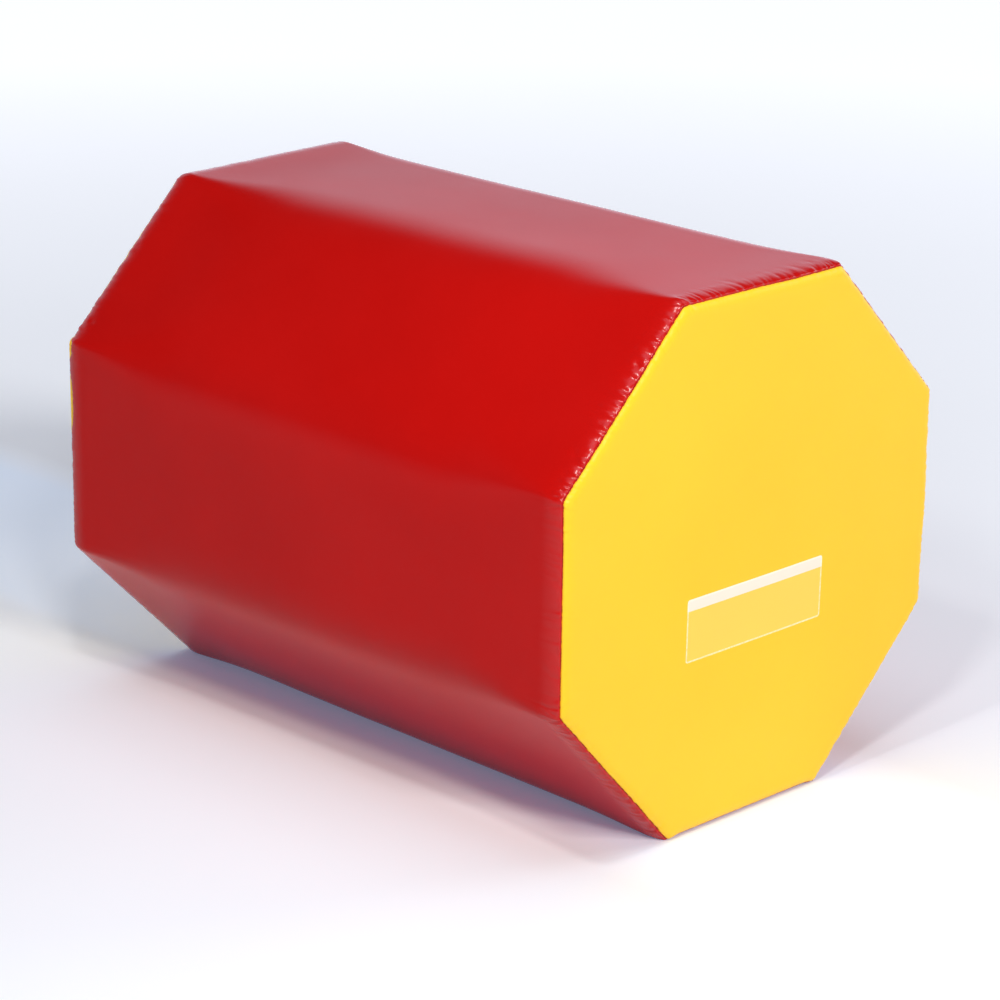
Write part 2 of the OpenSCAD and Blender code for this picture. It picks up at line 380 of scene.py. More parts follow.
def lozenge(centre, along, out, length, width, height, sides=6):
    """A rounded bar that tapers at both ends, such as one stitch."""
    along, out = np.asarray(along, float), np.asarray(out, float)
    across = np.cross(out, along)
    rings = ((-0.5, 0.35), (-0.28, 0.95), (0.28, 0.95), (0.5, 0.35))
    points = []
    for place, girth in rings:
        for i in range(sides):
            a = 2 * math.pi * i / sides
            points.append(
                centre + along * length * place
                + across * width / 2 * girth * math.cos(a) + out * height / 2 * girth * math.sin(a))
    faces = []
    for r in range(len(rings) - 1):
        for i in range(sides):
            j = (i + 1) % sides
            a, b = r * sides, (r + 1) * sides
            faces.append((a + i, a + j, b + j, b + i))
    faces.append(tuple(range(sides - 1, -1, -1)))
    last = (len(rings) - 1) * sides
    faces.append(tuple(last + i for i in range(sides)))
    return points, faces


def add_thread(name, parts, *replaced):
    """Stitches, each as (points, faces), in one piece."""
    points, faces = join_meshes(parts)
    add_piece(name, points, faces, MATERIALS["thread"], "barrel", replaced)


# ---- materials ----


class Shader:
    """A material under construction, with short ways to add and join nodes."""

    def __init__(self, name):
        self.material = bpy.data.materials.new(name)
        self.material.use_nodes = True
        self.tree = self.material.node_tree
        self.surface = self.tree.nodes["Principled BSDF"]
        self.place = self.add("ShaderNodeTexCoord").outputs["Object"]
        MATERIALS[name] = self.material

    def add(self, kind, **settings):
        node = self.tree.nodes.new(kind)
        for key, value in settings.items():
            setattr(node, key, value)
        return node

    def join(self, source, target):
        self.tree.links.new(source, target)

    def feed(self, socket, value):
        """Give a socket a number or a colour, or join another socket to it."""
        if isinstance(value, tuple):
            socket.default_value = (*value, 1)
        elif isinstance(value, (int, float)):
            socket.default_value = value
        else:
            self.join(value, socket)

    def noise(self, scale, detail=3.0, roughness=0.5, stretch=None):
        node = self.add("ShaderNodeTexNoise")
        node.inputs["Scale"].default_value = scale
        node.inputs["Detail"].default_value = detail
        node.inputs["Roughness"].default_value = roughness
        place = self.place
        if stretch:
            mapping = self.add("ShaderNodeMapping")
            mapping.inputs["Scale"].default_value = stretch
            self.join(place, mapping.inputs["Vector"])
            place = mapping.outputs["Vector"]
        self.join(place, node.inputs["Vector"])
        return node.outputs["Fac"]

    def ramp(self, factor, low, high, at=(0.3, 0.7)):
        """A colour that runs from low to high as factor passes through the range at."""
        node = self.add("ShaderNodeValToRGB")
        first, last = node.color_ramp.elements
        first.position, last.position = at
        first.color = (*low, 1)
        last.color = (*high, 1)
        self.join(factor, node.inputs["Fac"])
        return node.outputs["Color"]

    def span(self, factor, low, high, at=(0.3, 0.7)):
        node = self.add("ShaderNodeMapRange")
        node.inputs["From Min"].default_value, node.inputs["From Max"].default_value = at
        node.inputs["To Min"].default_value, node.inputs["To Max"].default_value = low, high
        self.join(factor, node.inputs["Value"])
        return node.outputs["Result"]

    def math(self, operation, a, b=None):
        node = self.add("ShaderNodeMath", operation=operation)
        for socket, value in zip(node.inputs, (a, b)):
            if value is not None:
                self.feed(socket, value)
        return node.outputs[0]

    def mix(self, factor, a, b):
        node = self.add("ShaderNodeMix", data_type="RGBA")
        for i, value in ((0, factor), (6, a), (7, b)):
            self.feed(node.inputs[i], value)
        return node.outputs[2]

    def bump(self, height, distance, strength=1.0):
        node = self.add("ShaderNodeBump")
        node.inputs["Strength"].default_value = strength
        node.inputs["Distance"].default_value = distance
        self.join(height, node.inputs["Height"])
        self.join(node.outputs["Normal"], self.surface.inputs["Normal"])

    def colour(self, source):
        self.join(source, self.surface.inputs["Base Color"])

    def rough(self, value):
        self.feed(self.surface.inputs["Roughness"], value)


def vinyl(name, pale, deep, gloss_low, gloss_high, specular, specular_at_seam, label=False):
    """PVC-coated fabric: slightly cloudy colour and uneven gloss."""
    m = Shader(name)
    clouds = m.noise(3.2, 4, 0.55)
    colour = m.ramp(clouds, deep, pale)
    if label:
        colour = printed_panel(m, colour)
    m.colour(colour)
    m.rough(m.span(m.noise(9, 5, 0.6), gloss_low, gloss_high))
    # The sheet shines more where the seam stretches it
    split = m.add("ShaderNodeSeparateXYZ")
    m.join(m.place, split.inputs[0])
    from_middle = m.math("ABSOLUTE", split.outputs["X"])
    shine = m.span(from_middle, specular, specular_at_seam, at=(HALF_L - 36 * MM, HALF_L - 8 * MM))
    m.join(shine, m.surface.inputs["Specular IOR Level"])
    return m.material


def printed_panel(m, colour):
    """A blank write-on panel on the end: a thin pale frame, a faint field and a plain pale band on top."""
    low, high = (-140 * MM, 257 * MM), (140 * MM, 348 * MM)
    corner, line, band = 4 * MM, 2.4 * MM, 17 * MM
    field_strength, band_strength = 0.16, 0.88
    split = m.add("ShaderNodeSeparateXYZ")
    m.join(m.place, split.inputs[0])
    past = []
    for socket, a, b in ((split.outputs["Y"], low[0], high[0]), (split.outputs["Z"], low[1], high[1])):
        from_middle = m.math("ABSOLUTE", m.math("SUBTRACT", socket, (a + b) / 2))
        past.append(m.math("MAXIMUM", m.math("SUBTRACT", from_middle, (b - a) / 2 - corner), 0.0))
    squares = [m.math("MULTIPLY", p, p) for p in past]
    distance = m.math("SUBTRACT", m.math("SQRT", m.math("ADD", *squares)), corner)
    right_end = m.math("GREATER_THAN", split.outputs["X"], 0.0)
    inside = m.math("MULTIPLY", m.math("LESS_THAN", distance, 0.0), right_end)
    field = m.math("LESS_THAN", distance, -line)
    worn = m.span(m.noise(260, 4, 0.7), 0.25, 0.75)
    field_inside = m.math("MULTIPLY", field, inside)
    frame_share = m.math("MULTIPLY", m.math("SUBTRACT", inside, field_inside), worn)
    field_share = m.math("MULTIPLY", field_inside, field_strength)
    colour = m.mix(field_share, colour, (1.0, 0.86, 0.42))
    header = m.math("GREATER_THAN", split.outputs["Z"], high[1] - band)
    header_share = m.math("MULTIPLY", m.math("MULTIPLY", header, inside), band_strength)
    colour = m.mix(header_share, colour, (0.98, 0.80, 0.70))
    return m.mix(frame_share, colour, (1.0, 0.95, 0.72))


def make_materials():
    red = vinyl("red_vinyl", (0.49, 0.0046, 0.0032), (0.44, 0.0038, 0.0027), 0.19, 0.25, 0.085, 0.36)
    yellow = vinyl("yellow_vinyl", (0.98, 0.575, 0.022), (0.95, 0.548, 0.019), 0.32, 0.40, 0.20, 0.20,
                   label=True)

    foam = Shader("soft_foam")
    foam.colour(foam.ramp(foam.noise(40), (0.78, 0.70, 0.48), (0.88, 0.82, 0.62)))
    foam.rough(0.95)
    foam.bump(foam.noise(700, 4, 0.7), 0.6 * MM)

    board = Shader("firm_foam")
    board.colour(board.ramp(board.noise(25), (0.84, 0.84, 0.80), (0.91, 0.91, 0.88)))
    board.rough(0.8)
    board.bump(board.noise(420, 3, 0.6), 0.25 * MM)

    thread = Shader("thread")
    twist = thread.noise(900, 2, 0.5, stretch=(1, 3, 3))
    thread.colour(thread.ramp(twist, (0.30, 0.008, 0.006), (0.48, 0.014, 0.010)))
    thread.rough(0.6)
    thread.bump(twist, 0.1 * MM)

    tape = Shader("zip_tape")
    weave = tape.add("ShaderNodeTexWave", wave_type="BANDS", bands_direction="X")
    weave.inputs["Scale"].default_value = 320
    weave.inputs["Distortion"].default_value = 0.6
    tape.join(tape.place, weave.inputs["Vector"])
    cross = tape.add("ShaderNodeTexWave", wave_type="BANDS", bands_direction="Z")
    cross.inputs["Scale"].default_value = 260
    tape.join(tape.place, cross.inputs["Vector"])
    woven = tape.math("MULTIPLY", weave.outputs["Fac"], cross.outputs["Fac"])
    tape.colour(tape.ramp(woven, (0.010, 0.010, 0.011), (0.030, 0.030, 0.033), at=(0, 1)))
    tape.rough(0.75)
    tape.bump(woven, 0.15 * MM)

    coil = Shader("zip_coil")
    coil.colour(coil.ramp(coil.noise(300), (0.012, 0.012, 0.013), (0.028, 0.028, 0.030)))
    coil.rough(0.32)
    coil.bump(coil.noise(1800, 2), 0.02 * MM)

    metal = Shader("zip_metal")
    metal.surface.inputs["Metallic"].default_value = 1.0
    metal.colour(metal.ramp(metal.noise(220, 4, 0.7), (0.36, 0.36, 0.38), (0.56, 0.56, 0.57)))
    metal.rough(metal.span(metal.noise(500, 4, 0.7), 0.22, 0.42))
    metal.bump(metal.noise(2500, 2), 0.02 * MM, 0.5)
    return red, yellow


# ---- the cover ----


def seam_place(u, end):
    """Where the seam lies on the rounding, column by column."""
    wander = SEAM_WANDER * ring_noise(u, ROUND_LENGTH, 90 * MM, 11 + end)
    place = SEAM_AT + wander
    if end < 0:
        # The far panel's edge is drawn over on to the front in two places
        front_top = SIDE_LENGTH * FRONT
        for centre, reach, pull in ((8 * MM, 16 * MM, 9 * MM), (92 * MM, 42 * MM, 9.5 * MM)):
            away = (u - front_top - centre) / reach
            place = place - pull * np.exp(-away ** 4)
    return place


def side_strength(side, t, end):
    """Gathering strength at each column, blended over the corners."""
    g = np.array(GATHER_BY_SIDE) * (FAR_END_GATHER if end < 0 else 1)
    here, before, after = g[side], g[side - 1], g[(side + 1) % SIDES]
    # The front upper side is gathered harder towards its lower corner
    here = here * np.where(side == FRONT_UPPER, 1 + 0.35 * t, 1)
    to_before = 0.5 * smoothstep(-t, 0.8, 1.0)
    to_after = 0.5 * smoothstep(t, 0.8, 1.0)
    return here * (1 - to_before - to_after) + before * to_before + after * to_after


def gathers(u, d, strength, seed):
    """Height of the puckers that the seam's thread draws in the sheet, d from the seam."""
    slant = 0.25 * ring_noise(u, ROUND_LENGTH, 60 * MM, seed)
    warped = u + slant * d + 3 * MM * ring_noise(u, ROUND_LENGTH, 35 * MM, seed + 1)
    long_folds = np.abs(ring_noise(warped, ROUND_LENGTH, GATHER_PITCH / 2, seed + 2)) ** 0.75 - 0.5
    short_folds = np.abs(ring_noise(warped, ROUND_LENGTH, GATHER_PITCH / 4, seed + 3)) - 0.5
    uneven = 0.85 + 0.30 * ring_noise(u, ROUND_LENGTH, 55 * MM, seed + 4)
    reach = GATHER_REACH * (1 + 0.45 * ring_noise(u, ROUND_LENGTH, 28 * MM, seed + 5))
    long_fade = np.exp(-(d / reach) ** 1.5)
    short_fade = np.exp(-(d / SHORT_GATHER_REACH) ** 1.5)
    height = long_folds * long_fade + 0.45 * short_folds * short_fade
    return GATHER_DEPTH * strength * uneven * height


def dimples(u, d, strength, seed):
    """Small isolated bumps and dents beside the seam."""
    height = np.zeros(np.broadcast(u, d).shape)
    draw = np.random.RandomState(seed)
    for _ in range(DIMPLE_COUNT):
        centre = draw.uniform(0, ROUND_LENGTH)
        away = draw.uniform(4, 27) * MM
        wide, deep = draw.uniform(2.5, 5) * MM, draw.uniform(4, 9) * MM
        size = draw.uniform(-1, 0.8) * DIMPLE_DEPTH
        near = np.abs(u - centre) < 4 * wide
        columns_near = np.where(near)[0]
        if len(columns_near) == 0:
            continue
        a = (u[columns_near] - centre) / wide
        b = (d[:, columns_near] - away) / deep
        height[:, columns_near] += size * np.exp(-a * a - b * b) * strength[columns_near]
    return height


def creases(u, d, end):
    """Sharp little folds where the seam turns a corner."""
    height = np.zeros(d.shape)
    draw = np.random.RandomState(40 + end)
    for corner in range(SIDES):
        centre = (corner + 1) * SIDE_LENGTH
        hard = 2.0 if (corner, end) == (FRONT, 1) else 1.0
        for _ in range(3):
            lean = draw.uniform(-1.1, 1.1)
            start = centre + draw.uniform(-7, 7) * MM
            length = draw.uniform(12, 30) * MM
            off = (u[None, :] - start - lean * d + ROUND_LENGTH / 2) % ROUND_LENGTH - ROUND_LENGTH / 2
            fade = np.exp(-(d / length) ** 2)
            height += -0.9 * MM * hard * np.exp(-(off / (1.6 * MM)) ** 2) * fade
            height += 0.6 * MM * hard * np.exp(-((off - 3.5 * MM) / (2.4 * MM)) ** 2) * fade
    return height


def slack(u, x):
    """Broad, shallow waves in the stretched sheet."""
    wide = sheet_noise(u, x + 3, ROUND_LENGTH, 150 * MM, 190 * MM, 21)
    small = sheet_noise(u, x + 3, ROUND_LENGTH, 46 * MM, 60 * MM, 22)
    return 0.7 * MM * wide + 0.05 * MM * small


def groove(d):
    """The valley at the seam."""
    return -GROOVE_DEPTH * np.exp(-(d / (1.2 * MM)) ** 2) - 0.7 * MM * np.exp(-d / (4 * MM))


def growing_steps(total, first, growth, largest):
    places, step = [0.0], first
    while places[-1] < total:
        places.append(places[-1] + step)
        step = min(step * growth, largest)
    return np.array(places) * total / places[-1]


def cover_rows(side, t, u, end):
    """Rows of the side sheet from the middle of the barrel to one seam, gathered and creased."""
    reach = HALF_L + END_PROUD + WIDE_TURN_SIDE + TURN.run[0] + SEAM_AT
    d = growing_steps(reach, 0.65 * MM, 1.15, 28 * MM)[::-1]
    seam = seam_place(u, end)
    s = SEAM_AT - d[:, None] + (seam - SEAM_AT)[None, :] * np.exp(-(d[:, None] / (30 * MM)) ** 2)
    points = cover_points(side, t, s, end)
    distance = np.broadcast_to(d[:, None], s.shape)
    strength = side_strength(side, t, end)
    lift = gathers(u, distance, strength, 50 + 10 * end)
    lift = lift + dimples(u, distance, strength, 60 + end)
    lift = lift + 0.8 * creases(u, distance, end) * np.clip(strength + 0.3, 0, 1)
    lift = lift * clear_of_floor(side, t)
    quiet = calm(side, t)
    lift = lift * (0.4 + 0.6 * quiet) + slack(u, points[..., 0]) * quiet
    lift = lift + groove(distance)
    return points, lift


def inward_of(edge):
    """Unit vectors from points of a seam straight towards the barrel's axis."""
    inward = np.stack([np.zeros(len(edge)), -(edge[:, 1]), -(edge[:, 2] - AXIS_Z)], -1)
    return inward / np.linalg.norm(inward, axis=1)[:, None]


def side_sheet(red):
    slot_low, slot_high = ZIP_Z - SLOT_HALF_H, ZIP_Z + SLOT_HALF_H
    snap = [(z - AXIS_Z) / (SIDE_LENGTH / 2) for z in (slot_low, slot_high)]
    side, t = columns(snap)
    u = place_round(side, t)
    left, left_lift = cover_rows(side, t, u, -1)
    right, right_lift = cover_rows(side, t, u, 1)
    points = np.concatenate([left[::-1], right[1:]])
    lift = np.concatenate([left_lift[::-1], right_lift[1:]])
    normals = normals_of(points)
    points = points + normals * lift[..., None]
    # The allowance turns in behind each panel
    tucks = []
    for row, end in ((0, -1), (-1, 1)):
        edge, normal = points[row], normals[row]
        inward = inward_of(edge)
        axial = np.array([-end, 0, 0]) * MM
        tucks.append([edge - normal * 1.2 * MM + inward * 0.4 * MM,
                      edge - normal * 2.5 * MM + inward * 3 * MM + 0.5 * axial,
                      edge - normal * 2.5 * MM + inward * SEAM_ALLOWANCE + axial])
    points = np.concatenate([np.array(tucks[0][::-1]), points, np.array(tucks[1])])
    rows, cols = points.shape[:2]
    x = points[..., 0]
    slot_columns = np.where((side == BACK) & (t > snap[0] - 1e-6) & (t < snap[1] - 1e-6))[0]
    skip = np.zeros((rows - 1, cols), bool)
    inside = (np.abs((x[1:] + x[:-1]) / 2) < SLOT_HALF_L)
    skip[:, slot_columns] = inside[:, slot_columns]
    parts = [(points, grid_faces(rows, cols, closed=True, skip=skip))]
    # A folded hem along both sides of the slot
    open_rows = np.where(skip[:, slot_columns[0]])[0]
    run = np.arange(open_rows[0], open_rows[-1] + 2)
    for column, towards in ((slot_columns[0], 1), (slot_columns[-1] + 1, -1)):
        edge = points[run, column]
        fold = [(0, 0), (-0.12, 0.3), (-0.6, 0.45), (-1.05, 0.3), (-1.15, 0), (-1.15, -9)]
        strip = np.stack([edge + np.array([0, y, towards * z]) * MM for y, z in fold])
        if towards > 0:
            strip = strip[::-1]
        faces = grid_faces(len(fold), len(run))
        parts.append((strip, [f[::-1] for f in faces]))
    points, faces = join_meshes(parts)
    obj = add_piece("vinyl_side_sheet", points, faces, red, "barrel", ("side_wrap",))


def panel(name, yellow, end, replaced):
    """A yellow end panel: rows from the seam over its rounded edge, then rings that thin out inwards."""
    side, t = columns()
    u = place_round(side, t)
    seam = seam_place(u, end)
    flat_s = WIDE_TURN_END + 8 * MM
    e = growing_steps(flat_s - SEAM_AT, 0.5 * MM, 1.16, 4 * MM)
    s = seam[None, :] + e[:, None] * (flat_s - seam)[None, :] / (flat_s - SEAM_AT)
    points = cover_points(side, t, s, end)
    distance = np.broadcast_to(e[:, None], s.shape)
    strength = side_strength(side, t, end)
    lift = 0.85 * gathers(u, distance, strength, 50 + 10 * end) * np.exp(-distance / (12 * MM))
    lift = lift + groove(distance)
    normals = normals_of(points) * end
    points = points + normals * lift[..., None]
    edge, normal = points[0], normals[0]
    inward = inward_of(edge)
    tuck = [edge - normal * 1.6 * MM + inward * SEAM_ALLOWANCE, edge - normal * 1.6 * MM + inward * 3 * MM,
            edge - normal * 1.0 * MM + inward * 0.3 * MM]
    points = np.concatenate([np.array(tuck), points])
    rows, cols = points.shape[:2]
    parts_points = [points.reshape(-1, 3)]
    faces = grid_faces(rows, cols, closed=True)
    # Rings towards the middle, with half the columns after every second ring
    outer_ids = np.arange(cols) + (rows - 1) * cols
    outline = points[-1]
    centre = np.array([outline[0, 0], 0, AXIS_Z])
    count = rows * cols
    for ring, share in enumerate(np.linspace(1, 0, 15)[1:-1]):
        halve = ring % 2 == 1 and len(outer_ids) > 64
        ring_points = centre + (outline - centre) * share
        step = cols // len(outer_ids) * (2 if halve else 1)
        ring_points = ring_points[::step]
        ids = np.arange(len(ring_points)) + count
        count += len(ring_points)
        parts_points.append(ring_points)
        n = len(ids)
        for i in range(n):
            j = (i + 1) % n
            if halve:
                a, b, c = outer_ids[2 * i], outer_ids[2 * i + 1], outer_ids[(2 * i + 2) % (2 * n)]
                faces += [(a, b, ids[i]), (b, c, ids[j]), (b, ids[j], ids[i])]
            else:
                faces.append((outer_ids[i], outer_ids[j], ids[j], ids[i]))
        outer_ids = ids
    parts_points.append(centre[None])
    n = len(outer_ids)
    faces += [(outer_ids[i], outer_ids[(i + 1) % n], count) for i in range(n)]
    points = np.concatenate(parts_points)
    # The middle of the panel stands out a little over the foam
    radial = np.hypot(points[:, 1], points[:, 2] - AXIS_Z) / APOTHEM
    crown = 3 * MM * np.clip(1 - radial ** 2, 0, 1) ** 1.5
    wave = 0.5 * MM * sheet_noise(points[:, 1] + 1, points[:, 2] + 1, 3.0, 140 * MM, 170 * MM, 31)
    points[:, 0] += end * (crown + wave * smoothstep(1 - radial, 0.05, 0.2))
    if end < 0:
        faces = [f[::-1] for f in faces]
    obj = add_piece(name, points, faces, yellow, "barrel", (replaced,))


def seam_stitches(name, end, replaced):
    """Thread that shows in the valley of an end seam."""
    side, t = columns()
    u = place_round(side, t)
    seam = seam_place(u, end)
    points = cover_points(side, t, np.stack([seam - 0.5 * MM, seam, seam + 0.5 * MM]), end)
    normals = facing_out(points, normals_of(points))[1]
    line = points[1] - normals * 2.3 * MM
    steps = np.linalg.norm(np.diff(np.vstack([line, line[:1]]), axis=0), axis=1)
    length = np.concatenate([[0], np.cumsum(steps)])
    count = int(length[-1] / (5 * MM))
    parts = []
    for i in range(count):
        at = (i + 0.5) * length[-1] / count
        ends = [np.array([np.interp(at + k, length, np.append(line[:, a], line[0, a])) for a in range(3)])
                for k in (-1.9 * MM, 1.9 * MM)]
        along = ends[1] - ends[0]
        along /= np.linalg.norm(along)
        n = normals[np.searchsorted(length, at) % len(normals)]
        out = n - along * (n @ along)
        out /= np.linalg.norm(out)
        parts.append(lozenge((ends[0] + ends[1]) / 2, along, out, 4.4 * MM, 1.0 * MM, 1.0 * MM))
    add_thread(name, parts, replaced)


# ---- foam ----


def foam_board(k):
    """One firm side board as the cover presses it: it follows the skin and is mitred at both edges."""
    t = crowded(np.linspace(-1, 1, 25))
    if k == BACK:
        edges = [(ZIP_Z + a * MM - AXIS_Z) / (SIDE_LENGTH / 2) for a in (-30, -24, 24, 30)]
        t = np.sort(np.concatenate([t, edges]))
    side = np.full(len(t), k)
    inner_s = WIDE_TURN_END + (APOTHEM - CORE_APOTHEM) - TURN.drop[-1]
    mid_s = TURN.s_at_x(np.array(-HALF_L - END_PROUD))
    long_rows, end_rows = np.linspace(mid_s, -45 * MM, 14), np.linspace(-40 * MM, inner_s - 2 * MM, 22)
    s = np.concatenate([long_rows, end_rows])[:, None]
    s = np.broadcast_to(s, (len(s), len(t)))
    halves = []
    for end in (-1, 1):
        points = cover_points(side, t, s, end)
        normals = facing_out(points, normals_of(points, closed=False))
        depth = np.full(points.shape[:2], 4.2 * MM)
        if k == BACK:
            z = points[..., 2] - ZIP_Z
            depth = depth + 3 * MM * (1 - smoothstep(np.abs(z), 22 * MM, 30 * MM))
        halves.append(points - normals * depth[..., None])
    skin = np.concatenate([halves[0][::-1], halves[1][1:]])
    # Close the board along the core: the first and last rows already lie on it
    face = k * 2 * HALF_SIDE_ANGLE
    half = CORE_APOTHEM * math.tan(HALF_SIDE_ANGLE)
    out, flat = CORE_APOTHEM + 0.1 * MM, t * half
    y = out * math.cos(face) - flat * math.sin(face)
    z = out * math.sin(face) + flat * math.cos(face) + AXIS_Z
    core_rows = [np.stack([np.full(len(t), x), y, z], -1) for x in (skin[-1, 0, 0], skin[0, 0, 0])]
    points = np.concatenate([skin, np.array(core_rows)])
    rows, cols = points.shape[:2]
    faces = grid_faces(rows, cols)
    last = (rows - 1) * cols
    faces += [(last + c, last + c + 1, c + 1, c) for c in range(cols - 1)]
    faces.append(tuple(r * cols for r in range(rows)))
    faces.append(tuple(r * cols + cols - 1 for r in range(rows - 1, -1, -1)))
    name = f"foam_board_{SIDE_NAMES[k]}"
    obj = add_piece(name, points.reshape(-1, 3), faces, MATERIALS["firm_foam"], "barrel",
                    (f"board_{SIDE_NAMES[k]}",), smooth=False)


# ---- zip ----


def bevelled_copy(name, node, width, material, body):
    """The CAD piece with its edges rounded."""
    source = frame["nodes"][node]
    mesh = bpy.data.meshes.new(name)
    bm = bmesh.new()
    bm.from_mesh(source.data)
    bmesh.ops.remove_doubles(bm, verts=bm.verts, dist=0.01 * MM)
    bmesh.ops.dissolve_limit(bm, angle_limit=math.radians(1), verts=bm.verts, edges=bm.edges)
    bm.to_mesh(mesh)
    bm.free()
    mesh.polygons.foreach_set("use_smooth", [True] * len(mesh.polygons))
    obj = new_object(name, mesh)
    obj.data.materials.append(material)
    bevel = obj.modifiers.new("rounded_edges", "BEVEL")
    bevel.width = width
    bevel.segments = 3
    bevel.limit_method = "ANGLE"
    bevel.angle_limit = math.radians(25)
    bevel.harden_normals = True
    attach(obj, body)
    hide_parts(node)


def coil(name, node, sign):
    """A row of nylon loops, each a rounded bar with a head that reaches past the middle."""
    low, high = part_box(node)
    pitch = 3 * MM
    count = int((high.x - low.x) / pitch)
    height = high.y - low.y
    middle_y = (low.y + high.y) / 2
    parts = []
    for i in range(count):
        x = low.x + (i + 0.5) * pitch + sign * pitch / 4
        if x > high.x - pitch / 2 or x < low.x + pitch / 2:
            continue
        centre = np.array([x, middle_y, ZIP_Z + sign * 2.3 * MM])
        parts.append(lozenge(centre, (0, 0, sign), (0, 1, 0), 5.6 * MM, 1.45 * MM, height * 0.94, sides=8))
    cord_y = middle_y - 0.3 * MM
    sides = 8
    ring = [(0.75 * MM * math.cos(2 * math.pi * k / sides), 0.75 * MM * math.sin(2 * math.pi * k / sides))
            for k in range(sides)]
    cord = [(x, cord_y + a, ZIP_Z + sign * 3.6 * MM + b) for x in (low.x, high.x) for a, b in ring]
    cord_faces = [(i, (i + 1) % sides, sides + (i + 1) % sides, sides + i) for i in range(sides)]
    cord_faces += [tuple(range(sides - 1, -1, -1)), tuple(range(sides, 2 * sides))]
    parts.append((cord, cord_faces))
    points, faces = join_meshes(parts)
    add_piece(name, points, faces, MATERIALS["zip_coil"], "barrel", (node,))


def stitch_row(z, x0, x1, y, pitch=4.5 * MM, length=3.7 * MM):
    """Stitches along X at one height, standing on the surface y."""
    count = int((x1 - x0) / pitch)
    parts = []
    for i in range(count):
        centre = np.array([x0 + (i + 0.5) * (x1 - x0) / count, y, z])
        parts.append(lozenge(centre, (1, 0, 0.03), (0, 1, 0), length, 0.8 * MM, 0.7 * MM))
    return parts


def zip_topstitching():
    low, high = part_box("zip_topstitching")
    offset = high.z - ZIP_Z - 0.3 * MM
    parts = []
    for z in (offset, offset - 6 * MM):
        for sign in (-1, 1):
            parts += stitch_row(ZIP_Z + sign * z, low.x, high.x, BACK_Y + 0.05 * MM)
    add_thread("zip_stitches", parts, "zip_topstitching")


def back_surface(x):
    """Y of the cover's back at these places along the barrel."""
    return BACK_Y - TURN.inset(TURN.s_at_x(np.abs(x) - HALF_L - END_PROUD))


def end_tab(name, node, red):
    """A vinyl patch over the slot's end, with rounded corners, that follows the cover below it."""
    low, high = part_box(node)
    cx, cz = (low.x + high.x) / 2, (low.z + high.z) / 2
    hx, hz = (high.x - low.x) / 2, (high.z - low.z) / 2
    corner = 4 * MM
    outline = []
    for sx, sz, start in ((1, 1, 0), (-1, 1, 90), (-1, -1, 180), (1, -1, 270)):
        for i in range(7):
            a = math.radians(start + 15 * i)
            outline.append((cx + sx * (hx - corner) + corner * math.cos(a),
                            cz + sz * (hz - corner) + corner * math.sin(a)))
    outline = np.array(outline)
    middle = np.array([cx, cz])
    heights = ((1.0, -0.3), (1.0, 0.35), (0.985, 0.62), (0.95, 0.72), (0.7, 0.75), (0.4, 0.78))
    points = []
    for share, lift in heights:
        at = middle + (outline - middle) * share
        points.append(np.stack([at[:, 0], back_surface(at[:, 0]) + lift * MM, at[:, 1]], -1))
    n = len(outline)
    points.append(np.array([[cx, back_surface(cx) + 0.8 * MM, cz]]))
    faces = []
    for r in range(len(heights) - 1):
        for i in range(n):
            j = (i + 1) % n
            faces.append((r * n + j, r * n + i, (r + 1) * n + i, (r + 1) * n + j))
    last = (len(heights) - 1) * n
    faces += [(last + (i + 1) % n, last + i, last + n) for i in range(n)]
    add_piece(name, np.concatenate(points), faces, red, "barrel", (node,))
    parts = []
    inset = 3 * MM
    corners = [(cx - hx + inset, cz - hz + inset), (cx + hx - inset, cz - hz + inset),
               (cx + hx - inset, cz + hz - inset), (cx - hx + inset, cz + hz - inset)]
    for a, b in zip(corners, corners[1:] + corners[:1]):
        a, b = np.array(a), np.array(b)
        run = np.linalg.norm(b - a)
        count = int(run / (4 * MM))
        direction = (b - a) / run
        for i in range(count):
            at = a + direction * (i + 0.5) * run / count
            centre = np.array([at[0], back_surface(at[0]) + 0.75 * MM, at[1]])
            along = (direction[0], 0, direction[1])
            parts.append(lozenge(centre, along, (0, 1, 0), 3.2 * MM, 0.8 * MM, 0.6 * MM))
    add_thread(name + "_stitches", parts)


